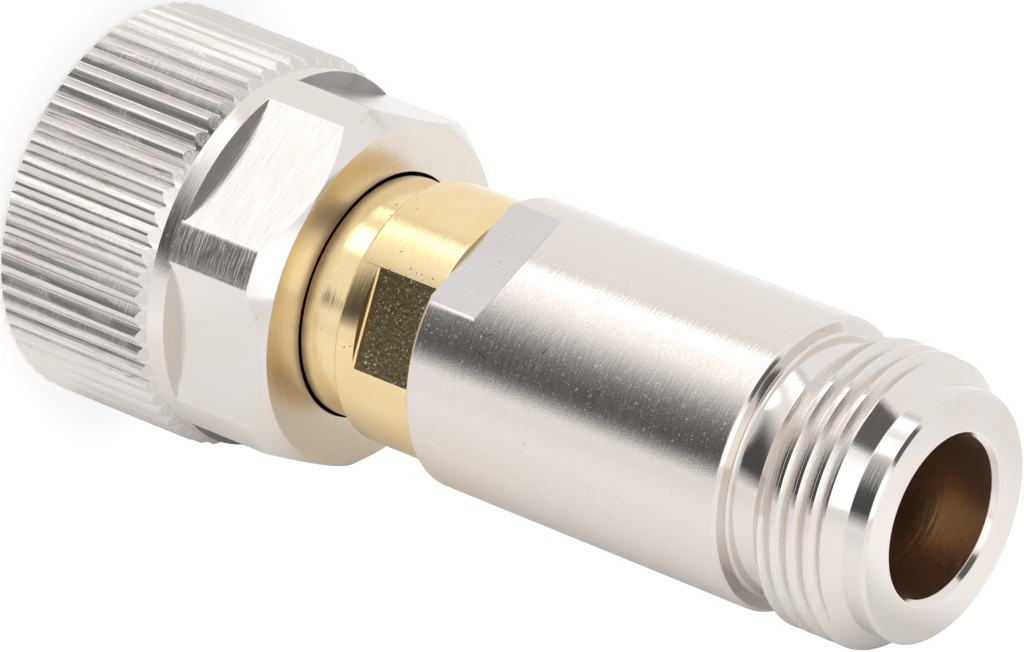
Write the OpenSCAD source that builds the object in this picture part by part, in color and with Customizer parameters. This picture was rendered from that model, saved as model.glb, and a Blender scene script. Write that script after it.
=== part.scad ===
// Coaxial adapter: a plug with a knurled coupling nut at one end, a threaded socket at the other.
// It stands on the nut's front rim with the socket up. The origin is on the axis in the plane of that
// rim, and +Z runs along the axis towards the socket's nose. Sizes are in millimetres.
// Threads are plain cylinders: outside threads at the major diameter, inside threads at the minor one.

/* [Coupling nut] */
// Length of the nut, rim to rear face
nut_len = 17.2; // [16:0.05:23]
// Diameter over the knurl's teeth
knurl_d = 21.7; // [21.3:0.1:25.5]
// Length of the knurl at its full height
knurl_len = 9.4; // [5:0.1:9.8]
// Number of knurl teeth
knurl_teeth = 58; // [40:2:72]
// Depth of the grooves between the teeth
knurl_depth = 0.3; // [0.2:0.05:0.5]
// Width of the land on top of each tooth
knurl_land_w = 0.18; // [0.1:0.02:0.4]
// Turn of the knurl from the barrel's flats, as the nut stands
knurl_turn = 1.4; // [0:0.1:6]
// Bevel on the front of the knurl
knurl_bevel = 0.3; // [0.2:0.1:0.8]
// Diameter behind the knurl, over the wrench corners
nut_d = 20.7; // [20.1:0.1:21.1]
// Plain band between the knurl and the wrench flats
nut_band_len = 1.1; // [0.4:0.05:1.5]
// Across the nut's six wrench flats
nut_af = 19; // [18.2:0.1:19.8]
// Diameter of the rear face, inside the rear cone
nut_face_d = 18.8; // [17.5:0.05:19.4]
// Length of the rear cone along the axis
nut_cone_len = 1.2; // [0.6:0.05:2]
// Minor diameter of the nut's thread
nut_thread_d = 14.8; // [14.72:0.02:15]
// Depth of the thread's end below the rim
nut_thread_depth = 8.8; // [6:0.1:9.5]
// Diameter of the mouth's bevel and of the relief behind the thread
nut_relief_d = 16.6; // [16.2:0.1:17.2]
// Bore of the rear lip, around the plug body's neck
nut_bore_d = 13.56; // [13.3:0.02:13.8]
// Turn of the nut's wrench flats from the barrel's flats, as it stands
nut_turn = 11; // [0:1:59]

/* [Plug body] */
// Gap between the neck and the nut's rear lip, on the radius
nut_gap = 0.12; // [0.08:0.02:0.3]
// Diameter of the neck at its thin end, where it meets the collar
neck_end_d = 12.5; // [11.8:0.05:12.9]
// Length of neck that shows behind the nut, all of it tapered
neck_show = 2.65; // [0.5:0.05:5]
// Diameter of the collar
collar_d = 14.5; // [14:0.05:15.8]
// Length of the collar
collar_len = 5.4; // [4:0.05:9]
// Bevel on the collar's front edge
collar_bevel = 0.2; // [0.1:0.05:0.5]
// Round rim of the collar before its flats
collar_rim_len = 1.35; // [0.8:0.05:2.5]
// Across the collar's two wrench flats
collar_af = 13.4; // [12.6:0.1:13.9]
// Turn of the collar's flats from the barrel's flats
collar_turn = 45; // [0:5:90]
// Diameter of the tail that screws into the barrel
tail_d = 12; // [10.8:0.1:12.3]
// Length of the tail's seat in the barrel
tail_len = 6.05; // [4.5:0.05:9]

/* [Nut ring and gasket] */
// Distance from the gasket's seat to the spring ring
ring_setback = 1.7; // [1:0.1:2.2]
// Thickness of the spring ring
ring_t = 1; // [0.6:0.1:1.3]
// Depth of the ring in the neck
ring_sink = 0.75; // [0.5:0.05:0.9]
// Reach of the ring into the nut's lip
ring_reach = 0.34; // [0.2:0.02:0.5]
// Opening of the split ring, in degrees
ring_split = 28; // [15:1:60]
// Play of the ring in the nut's groove, all round
ring_play = 0.3; // [0.1:0.05:0.5]
// Thickness of the gasket
gasket_t = 1.6; // [1:0.1:2.2]
// How far the socket's nose presses into the gasket
gasket_squeeze = 0.35; // [0.1:0.05:0.6]
// Outside diameter of the gasket
gasket_d = 13.2; // [12.2:0.1:13.3]

/* [Line] */
// Inside diameter of the outer conductor
line_d = 7; // [6.6:0.05:7.2]
// Diameter of the inner conductor
core_d = 3.04; // [2.8:0.02:3.2]
// Seat diameter of the insulator beads
bead_d = 9.2; // [8.8:0.1:9.6]
// Thickness of a bead
bead_t = 3; // [2:0.1:4]
// Depth of the ring recess in each bead face
bead_recess = 0.35; // [0.1:0.05:0.8]
// Diameter of the contacts where they pass through a bead
stud_d = 1.8; // [1.6:0.05:2.1]
// Diameter of the contacts' threaded ends in the rod
screw_d = 1.2; // [0.8:0.05:1.4]
// Length of the contacts' threaded ends
screw_len = 3; // [2:0.1:4.5]
// Turn of the contacts' slots from the barrel's flats
slot_turn = 45; // [0:5:85]

/* [Plug contacts] */
// Distance from the nut's rim to the front of the outer contact
contact_setback = 1.5; // [0.8:0.1:2]
// Outside diameter of the outer contact
contact_d = 8; // [7.7:0.02:8.08]
// Number of slots in the outer contact, across the axis
contact_cuts = 2; // [1:1:4]
// Width of the outer contact's slots
contact_slot_w = 0.5; // [0.3:0.05:0.7]
// Length of the outer contact's slots
contact_slot_len = 6.5; // [4:0.1:8]
// Length of the outer contact that is pressed into the plug body
shank_len = 2; // [1.2:0.1:3]
// Diameter of the centre pin
pin_d = 1.64; // [1.5:0.02:1.7]
// Distance from the outer contact's front to the pin's tip
pin_setback = 1.75; // [1:0.05:2.5]
// Distance from the outer contact's front to the pin's shoulder
pin_shoulder = 5.33; // [4.8:0.01:6]

/* [Socket] */
// Diameter of the barrel
barrel_d = 16; // [15.6:0.1:18]
// Length of the barrel
barrel_len = 20.3; // [16:0.05:30]
// Bevel on the barrel's ends
barrel_bevel = 0.2; // [0.1:0.05:0.4]
// Across the barrel's two wrench flats
barrel_af = 14; // [13.2:0.1:15.2]
// Length of the barrel's wrench flats
barrel_flat_len = 3.15; // [2:0.05:6]
// Slope at the upper end of those flats, in degrees from straight across
barrel_flat_slope = 40; // [0:5:55]
// Diameter of the relief groove between barrel and thread
relief_d = 14; // [13.4:0.05:14.6]
// Length of the relief groove
relief_len = 2.7; // [1.5:0.1:4]
// Major diameter of the socket's thread
thread_d = 15.875; // [15.6:0.005:16]
// Length of the thread
thread_len = 3.5; // [2.5:0.1:8]
// Length of the cone that leads into the thread
lead_len = 1.05; // [0.6:0.05:2]
// Diameter of the nose
nose_d = 13.65; // [13:0.05:14.3]
// Length of the nose
nose_len = 1.4; // [0.6:0.1:3]
// Bevel on the nose's outer edge
nose_bevel = 0.2; // [0.05:0.05:0.5]
// Diameter of the socket's bore
bore_d = 8.8; // [8.4:0.05:9.2]
// Depth of the bore's straight part
bore_depth = 4; // [2.5:0.1:4.2]
// Bevel at the bore's mouth
bore_bevel = 0.3; // [0.1:0.05:0.5]
// Diameter of the seat for a plug's outer contact, at the bottom of the bore
seat_d = 8.12; // [8.1:0.02:8.3]
// Length of the cone between bore and seat
seat_cone_len = 2.5; // [1:0.1:3]
// Depth from the nose to the shoulder that a plug's outer contact meets
ref_depth = 9.05; // [8.6:0.01:9.4]
// Depth from the nose to the tip of the socket contact
tip_depth = 4.3; // [4.25:0.05:5.2]
// Hole in the socket contact
hole_d = 1.68; // [1.6:0.02:1.8]
// Depth of that hole
hole_len = 5; // [4:0.1:7]
// Number of slots in the socket contact, across the axis
tip_cuts = 2; // [1:1:3]
// Width of the socket contact's slots
tip_slot_w = 0.25; // [0.15:0.05:0.3]
// Length of the socket contact's slots
tip_slot_len = 4.5; // [3:0.1:6]

/* [Hidden] */
$fn = 96;

// Fits: a pressed or screwed seat on the radius, the free end of a seat, the gap under the nut's lip
seat_gap = 0.02;
end_gap = 0.05;
lip_gap = 0.15;
// How far a cut or an overlap runs past a face
past = 1;

// Places along the axis, from the nut's rim up to the socket's nose
gasket_z = contact_setback + ref_depth - gasket_squeeze;
seat_z = gasket_z + gasket_t;
ring_z = seat_z + ring_setback;
lip_z = seat_z + lip_gap;
shank_z = gasket_z + gasket_squeeze + end_gap;
plug_bead_z = seat_z + shank_len;
rod_z = plug_bead_z + bead_t;
collar_z = nut_len + neck_show;
barrel_z = collar_z + collar_len;
clamp_z = barrel_z + tail_len;
socket_bead_z = clamp_z - bead_t;
relief_z = barrel_z + barrel_len;
thread_z = relief_z + relief_len;
lead_z = thread_z + thread_len;
nose_z = lead_z + lead_len;
top_z = nose_z + nose_len;
ref_z = top_z - ref_depth;
tip_z = top_z - tip_depth;

// Radii that follow from the sizes above
knurl_r = knurl_d / 2;
nut_r = nut_d / 2;
knurl_end_z = knurl_len + knurl_r - nut_r;
hex_z = knurl_end_z + nut_band_len;
nut_bore_r = nut_bore_d / 2;
neck_r = nut_bore_r - nut_gap;
ring_in_r = neck_r - ring_sink;
ring_out_r = nut_bore_r + ring_reach;
line_r = line_d / 2;
core_r = core_d / 2;
bead_r = bead_d / 2;
stud_r = stud_d / 2;
screw_r = screw_d / 2;
contact_r = contact_d / 2;
thread_r = thread_d / 2;
nose_r = nose_d / 2;

// A solid of revolution from its outline, as [radius, height] points
module turned(outline) {
  rotate_extrude() polygon(outline);
}

// Two opposite wrench flats, as the stock that a cutter takes off a round between two heights.
// With a slope the cut runs out upwards over a slanted end.
module flat_pair(across, z0, z1, turn, stock_r, slope = 0) {
  y0 = across / 2;
  y1 = y0 + stock_r;
  rotate(turn)
    for (side = [0, 180])
      rotate(side) translate([-stock_r, 0, 0]) rotate([90, 0, 90]) linear_extrude(2 * stock_r)
        polygon([[y0, z0], [y1, z0], [y1, z1 + stock_r * tan(slope)], [y0, z1]]);
}

// Slots sawn across the axis into the end of a sleeve, each cut opening two sides
module saw_cuts(count, width, z0, z1, reach) {
  for (i = [0 : count - 1])
    rotate(slot_turn + 180 * i / count)
      translate([-reach, -width / 2, z0]) cube([2 * reach, width, z1 - z0]);
}

// Outline of the knurl: narrow lands with a V groove after each
function knurl_outline() =
  let (pitch = 360 / knurl_teeth, land = 2 * asin(knurl_land_w / 2 / knurl_r))
  [for (i = [0 : knurl_teeth - 1])
     for (p = [[knurl_r, -land / 2], [knurl_r, land / 2], [knurl_r - knurl_depth, pitch / 2]])
       p[0] * [cos(i * pitch + p[1]), sin(i * pitch + p[1])]];

module knurled_band() {
  intersection() {
    linear_extrude(knurl_end_z) rotate(knurl_turn) polygon(knurl_outline());
    turned([[0, 0], [knurl_r - knurl_bevel, 0], [knurl_r + past, knurl_bevel + past],
            [knurl_r + past, knurl_len - past], [nut_r, knurl_end_z], [0, knurl_end_z]]);
  }
}

module wrench_band() {
  intersection() {
    turned([[0, knurl_len - past], [nut_r, knurl_len - past], [nut_r, nut_len - nut_cone_len],
            [nut_face_d / 2, nut_len], [0, nut_len]]);
    union() {
      translate([0, 0, knurl_len - 2 * past]) cylinder(r = knurl_r, h = hex_z - knurl_len + 2 * past);
      rotate(nut_turn) translate([0, 0, hex_z - past])
        cylinder(d = nut_af / cos(30), h = nut_len - hex_z + 2 * past, $fn = 6);
    }
  }
}

// Everything that is turned out of the nut: mouth, thread, relief, lip and ring groove
module nut_bore() {
  thread_r = nut_thread_d / 2;
  wide_r = nut_relief_d / 2;
  groove_r = ring_out_r + ring_play;
  groove_z = [ring_z - ring_play, ring_z + ring_t + ring_play];
  turned([[0, -past], [wide_r + past, -past], [thread_r, wide_r - thread_r], [thread_r, nut_thread_depth],
          [wide_r, nut_thread_depth + wide_r - thread_r], [wide_r, lip_z], [nut_bore_r, lip_z],
          [nut_bore_r, groove_z[0]], [groove_r, groove_z[0]], [groove_r, groove_z[1]],
          [nut_bore_r, groove_z[1]], [nut_bore_r, nut_len + past], [0, nut_len + past]]);
}

module coupling_nut() {
  color("gainsboro") difference() {
    union() {
      knurled_band();
      wrench_band();
    }
    nut_bore();
  }
}

module retaining_ring() {
  color("peru") difference() {
    turned([[ring_in_r, ring_z], [ring_out_r, ring_z], [ring_out_r, ring_z + ring_t],
            [ring_in_r, ring_z + ring_t]]);
    translate([0, 0, ring_z - past]) linear_extrude(ring_t + 2 * past)
      polygon([[0, 0], for (side = [-1, 1]) 2 * ring_out_r * [cos(side * ring_split / 2),
                                                              sin(side * ring_split / 2)]]);
  }
}

module sealing_gasket() {
  in_r = bead_r + 2 * end_gap;
  edge = gasket_t / 10;
  color("firebrick")
    turned([[in_r, gasket_z], [gasket_d / 2 - edge, gasket_z], [gasket_d / 2, gasket_z + edge],
            [gasket_d / 2, seat_z - edge], [gasket_d / 2 - edge, seat_z], [in_r, seat_z]]);
}

module plug_body() {
  collar_r = collar_d / 2;
  tail_r = tail_d / 2;
  tail_end = clamp_z - end_gap;
  groove_r = ring_in_r - end_gap;
  color("goldenrod") difference() {
    turned([[bead_r, seat_z], [neck_r, seat_z], [neck_r, ring_z - end_gap], [groove_r, ring_z - end_gap],
            [groove_r, ring_z + ring_t + end_gap], [neck_r, ring_z + ring_t + end_gap],
            [neck_r, nut_len], [neck_end_d / 2, collar_z], [collar_r - collar_bevel, collar_z],
            [collar_r, collar_z + collar_bevel], [collar_r, barrel_z], [tail_r, barrel_z],
            [tail_r, tail_end - collar_bevel],
            [tail_r - collar_bevel, tail_end], [bead_r, tail_end], [bead_r, socket_bead_z],
            [line_r, socket_bead_z], [line_r, rod_z], [bead_r, rod_z]]);
    flat_pair(collar_af, collar_z + collar_rim_len, barrel_z + end_gap, collar_turn, collar_d);
  }
}

module outer_contact() {
  base_r = bead_r - seat_gap;
  lip = (contact_r - line_r) / 3;
  color("gold") difference() {
    turned([[line_r + lip, contact_setback], [contact_r - lip, contact_setback],
            [contact_r, contact_setback + 2 * lip], [contact_r, shank_z], [base_r, shank_z],
            [base_r, plug_bead_z], [line_r, plug_bead_z], [line_r, contact_setback + lip]]);
    saw_cuts(contact_cuts, contact_slot_w, contact_setback - past, contact_setback + contact_slot_len,
             contact_d);
  }
}

// An insulator disc with a ring recess in both faces
module bead(z0) {
  z1 = z0 + bead_t;
  out_r = bead_r - seat_gap;
  in_r = stud_r + seat_gap;
  recess_r = [core_r + (line_r - core_r) / 4, line_r - (line_r - core_r) / 4];
  color("ivory")
    turned([[in_r, z0], [recess_r[0], z0], [recess_r[0], z0 + bead_recess], [recess_r[1], z0 + bead_recess],
            [recess_r[1], z0], [out_r, z0], [out_r, z1], [recess_r[1], z1], [recess_r[1], z1 - bead_recess],
            [recess_r[0], z1 - bead_recess], [recess_r[0], z1], [in_r, z1]]);
}

module plug_bead() {
  bead(plug_bead_z);
}

module socket_bead() {
  bead(socket_bead_z);
}

module pin_contact() {
  pin_r = pin_d / 2;
  point_z = contact_setback + pin_setback;
  shoulder_z = contact_setback + pin_shoulder;
  round_tip = [for (a = [0 : 15 : 90]) [pin_r * sin(a), point_z + pin_r * (1 - cos(a))]];
  color("gold")
    turned(concat(round_tip,
                  [[pin_r, shoulder_z], [core_r, shoulder_z], [core_r, plug_bead_z], [stud_r, plug_bead_z],
                   [stud_r, rod_z], [screw_r, rod_z], [screw_r, rod_z + screw_len], [0, rod_z + screw_len]]));
}

module centre_rod() {
  tap_r = screw_r + seat_gap;
  tap_len = screw_len + 4 * end_gap;
  color("gold")
    turned([[tap_r, rod_z], [core_r, rod_z], [core_r, socket_bead_z], [tap_r, socket_bead_z],
            [tap_r, socket_bead_z - tap_len], [0, socket_bead_z - tap_len], [0, rod_z + tap_len],
            [tap_r, rod_z + tap_len]]);
}

module socket_contact() {
  hole_r = hole_d / 2;
  edge = (core_r - hole_r) / 3;
  foot_z = socket_bead_z - screw_len;
  color("gold") difference() {
    turned([[0, foot_z], [screw_r, foot_z], [screw_r, socket_bead_z], [stud_r, socket_bead_z],
            [stud_r, clamp_z], [core_r, clamp_z], [core_r, tip_z - edge], [core_r - edge, tip_z],
            [hole_r + edge, tip_z], [hole_r, tip_z - edge], [hole_r, tip_z - hole_len],
            [0, tip_z - hole_len - hole_r]]);
    saw_cuts(tip_cuts, tip_slot_w, tip_z - tip_slot_len, tip_z + past, core_d);
  }
}

module socket_shell() {
  barrel_r = barrel_d / 2;
  socket_r = tail_d / 2 + seat_gap;
  bore_r = bore_d / 2;
  seat_r = seat_d / 2;
  relief_r = relief_d / 2;
  color("gainsboro") difference() {
    turned([[socket_r, barrel_z], [barrel_r - barrel_bevel, barrel_z], [barrel_r, barrel_z + barrel_bevel],
            [barrel_r, relief_z - barrel_bevel], [barrel_r - barrel_bevel, relief_z], [relief_r, relief_z],
            [relief_r, thread_z - thread_r + relief_r], [thread_r, thread_z], [thread_r, lead_z],
            [nose_r, nose_z], [nose_r, top_z - nose_bevel], [nose_r - nose_bevel, top_z],
            [bore_r + bore_bevel, top_z], [bore_r, top_z - bore_bevel], [bore_r, top_z - bore_depth],
            [seat_r, top_z - bore_depth - seat_cone_len], [seat_r, ref_z], [line_r, ref_z],
            [line_r, clamp_z], [socket_r, clamp_z]]);
    flat_pair(barrel_af, barrel_z - past, barrel_z + barrel_flat_len, 0, barrel_d, barrel_flat_slope);
  }
}

coupling_nut();
retaining_ring();
sealing_gasket();
plug_body();
outer_contact();
plug_bead();
pin_contact();
centre_rod();
socket_bead();
socket_contact();
socket_shell();
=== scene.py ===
"""Looks of a coaxial adapter: a knurled coupling nut, a gold body and a threaded silver barrel.

The adapter stands on its nut with the socket up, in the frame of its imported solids. Sizes are millimetres
and angles degrees, unless a name says otherwise. Meshes are in metres, with their place in the mesh.
"""
from __future__ import annotations

import logging
import math
from collections.abc import Callable, Iterator, Mapping, Sequence
from contextlib import contextmanager
from dataclasses import dataclass, field
from enum import Enum
from functools import cache
from typing import Union

import bmesh
import bpy
from mathutils import Matrix, Vector

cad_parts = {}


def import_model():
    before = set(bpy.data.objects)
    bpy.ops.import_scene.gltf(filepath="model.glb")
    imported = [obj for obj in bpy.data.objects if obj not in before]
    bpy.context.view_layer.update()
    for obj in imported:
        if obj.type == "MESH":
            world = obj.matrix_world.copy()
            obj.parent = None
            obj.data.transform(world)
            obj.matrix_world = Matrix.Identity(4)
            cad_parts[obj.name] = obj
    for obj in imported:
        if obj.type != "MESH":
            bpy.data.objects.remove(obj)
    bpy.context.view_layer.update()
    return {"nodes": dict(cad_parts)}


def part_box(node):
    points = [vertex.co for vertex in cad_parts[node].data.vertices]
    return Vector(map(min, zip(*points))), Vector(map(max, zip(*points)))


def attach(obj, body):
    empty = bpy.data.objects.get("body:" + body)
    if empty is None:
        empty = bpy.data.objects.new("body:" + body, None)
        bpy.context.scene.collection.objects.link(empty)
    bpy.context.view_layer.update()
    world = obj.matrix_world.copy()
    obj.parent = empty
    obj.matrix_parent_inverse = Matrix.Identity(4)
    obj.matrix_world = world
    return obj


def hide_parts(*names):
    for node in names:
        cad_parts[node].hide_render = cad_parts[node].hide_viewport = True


MM = 0.001
MICRON = 0.000001
TURN = 2.0 * math.pi
UNIT_Z = (0.0, 0.0, 1.0)
ORIGIN = (0.0, 0.0, 0.0)
WHITE = (1.0, 1.0, 1.0, 1.0)
WELD = 0.5 * MICRON

Colour = tuple[float, float, float]
Triple = tuple[float, float, float]
Point = tuple[float, float]
Edge = tuple[float, float]

log = logging.getLogger("coaxial_adapter")


class Body(Enum):
    """The adapter's two bodies: all that is screwed together, and the nut that spins on it."""

    ADAPTER = "adapter"
    NUT = "nut"


class Slot(Enum):
    """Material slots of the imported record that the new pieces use."""

    NICKEL = "nickel_plate"
    GOLD = "gold_plate"
    CONTACT = "contact_gold"
    INSULATOR = "insulator"
    RUBBER = "gasket_rubber"


class Marks(Enum):
    """Which way the marks of a tool run on a metal face."""

    TURNED = "around the axis"
    MILLED = "across the flats"
    KNURLED = "along the axis"
    BLASTED = "no way at all"


# Bench work: selecting, editing and cutting


def pick(piece: bpy.types.Object) -> None:
    """Makes one object the active one and the only one selected."""
    bpy.ops.object.select_all(action="DESELECT")
    piece.select_set(True)
    bpy.context.view_layer.objects.active = piece


@contextmanager
def editing(piece: bpy.types.Object, element: str = "VERT") -> Iterator[None]:
    """Opens a piece in edit mode with all of it selected, and closes it again.

    Args:
        piece: The piece to edit.
        element: What is selected: VERT, EDGE or FACE.
    """
    pick(piece)
    bpy.ops.object.mode_set(mode="EDIT")
    bpy.ops.mesh.select_mode(type=element)
    bpy.ops.mesh.select_all(action="SELECT")
    yield
    bpy.ops.object.mode_set(mode="OBJECT")


def finish_with(piece: bpy.types.Object, kind: str, **settings: object) -> None:
    """Adds a modifier with its settings and applies it.

    Args:
        piece: The piece that gets the modifier.
        kind: Blender's name of the modifier.
        **settings: Values of the modifier.
    """
    modifier = piece.modifiers.new(kind.lower(), kind)
    for key, setting in settings.items():
        setattr(modifier, key, setting)
    pick(piece)
    bpy.ops.object.modifier_apply(modifier=modifier.name)


def cut_away(piece: bpy.types.Object, cutter: bpy.types.Object) -> None:
    """Cuts one solid out of another and clears the cutter away.

    Args:
        piece: The solid that is cut.
        cutter: The solid that is taken out of it.
    """
    finish_with(piece, "BOOLEAN", object=cutter, operation="DIFFERENCE", solver="EXACT")
    pick(cutter)
    bpy.ops.object.delete()


def tidy_shell() -> None:
    """Merges doubles of the mesh in edit mode, drops loose edges and turns the faces outwards."""
    bpy.ops.mesh.select_all(action="SELECT")
    bpy.ops.mesh.remove_doubles(threshold=WELD)
    bpy.ops.mesh.delete_loose(use_verts=True, use_edges=True, use_faces=False)
    bpy.ops.mesh.select_all(action="SELECT")
    bpy.ops.mesh.normals_make_consistent(inside=False)


def draw_ring(name: str, points: Sequence[Vector]) -> bpy.types.Object:
    """Draws a closed ring of edges, extruding one point after another from a plane merged to a point.

    Args:
        name: Name of the new piece.
        points: The ring's points in metres.

    Returns:
        A piece with only those edges.
    """
    bpy.ops.object.select_all(action="DESELECT")
    bpy.ops.mesh.primitive_plane_add(size=MM)
    piece = bpy.context.object
    piece.name = name
    with editing(piece):
        bpy.ops.mesh.merge(type="CENTER")
        bpy.ops.transform.translate(value=points[0])
        for here, there in zip(points, [*points[1:], points[0]]):
            bpy.ops.mesh.extrude_vertices_move(TRANSFORM_OT_translate={"value": there - here})
        bpy.ops.mesh.select_all(action="SELECT")
        bpy.ops.mesh.remove_doubles(threshold=WELD)
    return piece


@dataclass(frozen=True)
class Corner:
    """A corner of a turned outline: its radius, its height and how far it is rounded."""

    r: float
    z: float
    rounding: float = 0.0


def rounded(corners: Sequence[Corner], steps: int = 5) -> list[Point]:
    """Replaces each rounded corner of a closed outline by an arc.

    Args:
        corners: The outline's corners, in order.
        steps: Straight stretches in each arc.

    Returns:
        The outline's points as radius and height.
    """
    points: list[Point] = []
    for i, corner in enumerate(corners):
        here = Vector((corner.r, corner.z))
        if corner.rounding == 0.0:
            points.append((here.x, here.y))
            continue
        before = corners[i - 1]
        after = corners[(i + 1) % len(corners)]
        back = (Vector((before.r, before.z)) - here).normalized()
        on = (Vector((after.r, after.z)) - here).normalized()
        half = back.angle(on) / 2.0
        centre = here + (back + on).normalized() * corner.rounding / math.sin(half)
        first = (here + back * corner.rounding / math.tan(half) - centre).normalized()
        last = (here + on * corner.rounding / math.tan(half) - centre).normalized()
        for k in range(steps + 1):
            point = centre + first.slerp(last, k / steps) * corner.rounding
            points.append((point.x, point.y))
    return points


def turned(name: str, corners: Sequence[Corner], segments: int, turn: float = 0.0) -> bpy.types.Object:
    """Turns a solid of revolution from its closed outline.

    Args:
        name: Name of the new piece.
        corners: The outline's corners, in order.
        segments: Steps round the axis.
        turn: Angle of the first step from +X.

    Returns:
        The turned solid.
    """
    x, y = math.cos(math.radians(turn)), math.sin(math.radians(turn))
    piece = draw_ring(name, [Vector((r * x, r * y, z)) * MM for r, z in rounded(corners)])
    with editing(piece):
        bpy.ops.mesh.spin(steps=segments, angle=TURN, center=ORIGIN, axis=UNIT_Z)
        tidy_shell()
    return piece


def prism(name: str, outline: Sequence[Vector], sweep: Vector) -> bpy.types.Object:
    """Extrudes a prism from its closed outline.

    Args:
        name: Name of the new piece.
        outline: The outline's points.
        sweep: How far and which way it is extruded.

    Returns:
        The closed prism.
    """
    piece = draw_ring(name, [point * MM for point in outline])
    with editing(piece):
        bpy.ops.mesh.edge_face_add()
        bpy.ops.mesh.extrude_region_move(TRANSFORM_OT_translate={"value": sweep * MM})
        tidy_shell()
    return piece


def repeat_round(piece: bpy.types.Object, count: int) -> None:
    """Copies a piece's mesh evenly round the axis.

    Args:
        piece: The piece to copy.
        count: How many there are afterwards.
    """
    with editing(piece):
        bpy.ops.mesh.spin(steps=count - 1, dupli=True, angle=TURN * (count - 1) / count,
                          center=ORIGIN, axis=UNIT_Z)


def hexagon_stock(across: float, turn: float, z0: float, z1: float) -> bpy.types.Object:
    """Makes the stock that is milled off a round to leave a hexagon: a tube turned in six steps.

    Args:
        across: Distance across two opposite flats.
        turn: Angle of a hexagon's corner from +X.
        z0: Height of the flats' lower end.
        z1: Height of their upper end.

    Returns:
        The cutter.
    """
    inner = across / 2.0 / math.cos(math.radians(30.0))
    outer = 2.0 * inner
    tube = [Corner(inner, z0), Corner(outer, z0), Corner(outer, z1), Corner(inner, z1)]
    return turned("hexagon_stock", tube, 6, turn)


def spoke(turn: float) -> Vector:
    """The level direction at an angle from +X."""
    return Vector((math.cos(math.radians(turn)), math.sin(math.radians(turn)), 0.0))


def mill_flats(piece: bpy.types.Object, profile: Sequence[Corner], turn: float) -> None:
    """Mills two opposite flats off a round.

    Args:
        piece: The round.
        profile: Outline of the stock over a flat, as distances from the axis and heights.
        turn: Angle of a flat's normal from +X.
    """
    reach, along = spoke(turn), spoke(turn + 90.0)
    width = 3.0 * profile[0].r
    outline = [reach * r - along * width / 2.0 + Vector((0.0, 0.0, z)) for r, z in rounded(profile)]
    stock = prism("flat_stock", outline, along * width)
    repeat_round(stock, 2)
    cut_away(piece, stock)


def saw_cut(piece: bpy.types.Object, count: int, width: float, turn: float, z0: float, z1: float,
            reach: float) -> None:
    """Saws slots across the axis into the end of a sleeve.

    Args:
        piece: The sleeve.
        count: How many cuts there are, each of which opens two sides.
        width: Width of a slot.
        turn: Angle of the first cut from +X.
        z0: Height of the slots' lower end.
        z1: Height of their upper end.
        reach: How far the saw reaches from the axis.
    """
    for i in range(count):
        angle = turn + 180.0 * i / count
        along, aside = spoke(angle) * reach, spoke(angle + 90.0) * width / 2.0
        foot = Vector((0.0, 0.0, z0))
        blade = [foot - along - aside, foot + along - aside, foot + along + aside, foot - along + aside]
        cut_away(piece, prism("saw", blade, Vector((0.0, 0.0, z1 - z0))))


def shade(piece: bpy.types.Object, sharp_angle: float = 32.0) -> None:
    """Shades a piece smooth up to its sharp edges, with large faces kept flat.

    Args:
        piece: The piece to shade.
        sharp_angle: Edges that turn more than this stay sharp.
    """
    pick(piece)
    bpy.ops.object.shade_smooth_by_angle(angle=math.radians(sharp_angle))
    finish_with(piece, "WEIGHTED_NORMAL", keep_sharp=True)


@dataclass(frozen=True)
class Thread:
    """A right-handed 60 degree thread, cut as one helical groove between crest and root radius."""

    crest_r: float
    root_r: float
    root_w: float
    z0: float
    turns: int
    pitch: float = 25.4 / 24.0
    edge: float = 0.03
    steps: int = 120

    def groove(self) -> bpy.types.Object:
        """Models the groove as a closed ribbon that winds up the helix.

        Returns:
            The cutter for the groove.
        """
        outward = math.copysign(1.0, self.crest_r - self.root_r)
        depth = abs(self.crest_r - self.root_r)
        flank = math.tan(math.radians(30.0))
        foot = self.root_w / 2.0
        mouth = foot + (depth - self.edge) * flank
        half = [(0.0, foot), (depth - self.edge, mouth), (depth, mouth + 1.5 * self.edge),
                (depth + self.pitch / 3.0, mouth + 1.5 * self.edge)]
        profile = half + [(out, -z) for out, z in reversed(half)]
        points = [Vector((self.root_r + outward * out, 0.0, self.z0 + z)) * MM for out, z in profile]
        cutter = draw_ring("groove", points)
        finish_with(cutter, "SCREW", axis="Z", angle=TURN, screw_offset=self.pitch * MM,
                    iterations=self.turns, steps=self.steps, render_steps=self.steps)
        with editing(cutter):
            tidy_shell()
            bpy.ops.mesh.fill_holes(sides=0)
            tidy_shell()
        return cutter


# Shader maths and nodes

Feed = Union["Number", bpy.types.NodeSocket, float, Sequence[float]]


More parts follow.
